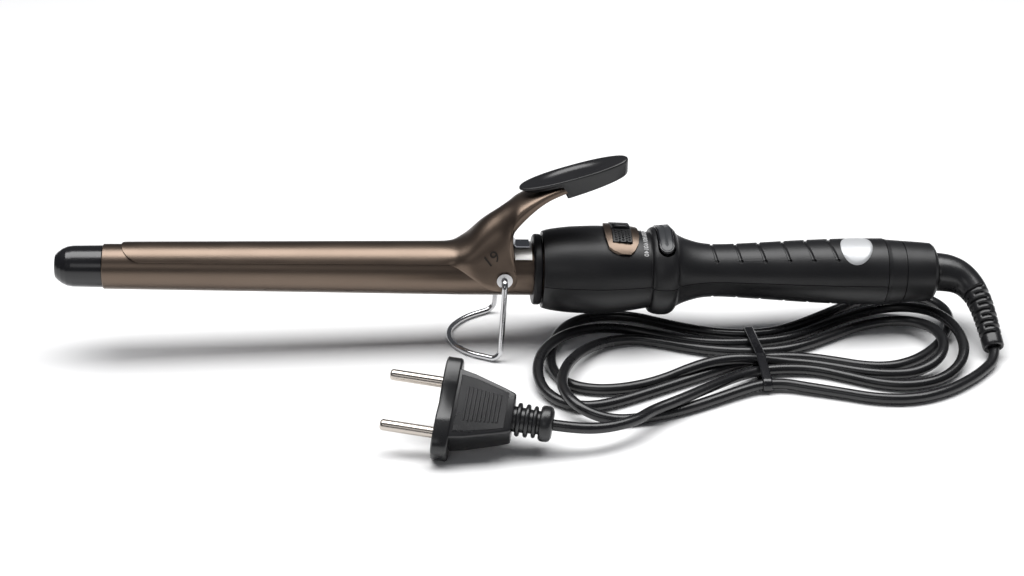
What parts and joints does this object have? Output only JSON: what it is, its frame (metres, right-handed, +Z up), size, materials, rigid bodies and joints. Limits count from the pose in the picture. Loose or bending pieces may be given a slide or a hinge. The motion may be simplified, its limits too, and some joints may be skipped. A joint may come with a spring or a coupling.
{
  "type": "curling iron",
  "caption": "Hair curling iron on its wire stand: tapered barrel with sprung clamp, handle with temperature slider and button, swivel cord bundled in front with its plug.",
  "frame": {"origin": "on the resting surface, under the middle of the iron (without its cord, plug and cord boot)", "axes": "+X towards the tail of the handle, +Z up; the iron leans 2.5 degrees, tip up, on its stand"},
  "size_m": [0.3531, 0.1116, 0.0735],
  "materials": {
    "bronze": "satin bronze coating",
    "black_plastic": "satin black",
    "gloss_black": "gloss",
    "steel": "polished",
    "nickel": "nickel plated",
    "cord_black": "soft gloss PVC",
    "aluminium": "bare",
    "ceramic": "matt",
    "mica": "matt",
    "board_green": "matt",
    "brass": "plain",
    "lens_grey": "gloss",
    "grey_plastic": "matt"
  },
  "bodies": {
    "root": {"cool_tip": "gloss_black", "tip_screw": "grey_plastic", "barrel": "bronze", "heater_halves": "aluminium", "ptc_element": "ceramic", "mica_sleeve": "mica", "thermal_fuse": "nickel", "heater_leads": "ceramic", "barrel_holder": "black_plastic", "front_ring": "gloss_black", "saddle_bracket": "steel", "pivot_eyelets": "steel", "clamp_spring": "steel", "upper_shell": "black_plastic", "lower_shell": "black_plastic", "shell_screws": "steel", "potentiometer": "grey_plastic", "pot_bracket": "black_plastic", "button_switch": "grey_plastic", "switch_post": "black_plastic", "circuit_board": "board_green", "board_parts": "grey_plastic", "indicator_led": "lens_grey", "tail_cap": "black_plastic", "contact_brushes": "brass", "cord_lead": "cord_black", "cord_hank": "cord_black", "cord_tie": "gloss_black", "plug_pins": "nickel", "plug_body": "cord_black", "plug_relief": "cord_black", "plug_lead": "cord_black", "button_spring": "steel"},
    "clamp": {"clamp_lever": "bronze", "thumb_paddle": "gloss_black"},
    "stand": {"wire_stand": "steel"},
    "temp_slider": {"slider_plate": "bronze", "slider_knob": "black_plastic", "slider_arm": "black_plastic"},
    "power_button": {"power_button": "lens_grey"},
    "cord_swivel": {"swivel_sleeve": "black_plastic", "swivel_contacts": "brass", "cord_boot": "cord_black"}
  },
  "joints": [
    {"name": "clamp_hinge", "type": "hinge", "parent": "root", "child": "clamp", "pos_m": [-0.0007, 0, 0.0302], "axis": [0, 1, 0], "range_deg": [0, 23], "stiffness_Nm_per_rad": 0.35, "springref_deg": -17.19, "deforming": ["clamp_spring"]},
    {"name": "stand_hinge", "type": "hinge", "parent": "root", "child": "stand", "pos_m": [-0.0007, 0, 0.0302], "axis": [0, -1, 0], "range_deg": [0, 85]},
    {"name": "temp_slide", "type": "hinge", "parent": "root", "child": "temp_slider", "pos_m": [-0.16684, 0, 0.03625], "axis": [0.999, 0, -0.0436], "range_deg": [-15, 15]},
    {"name": "power_press", "type": "slide", "parent": "root", "child": "power_button", "axis": [-0.0436, 0, -0.999], "range_m": [0, 0.0008], "stiffness_N_per_m": 400, "springref_m": -0.002, "deforming": ["button_spring"]},
    {"name": "cord_turn", "type": "hinge", "parent": "root", "child": "cord_swivel", "pos_m": [-0.16684, 0, 0.03625], "axis": [0.999, 0, -0.0436], "range_deg": [-90, 0]}
  ]
}
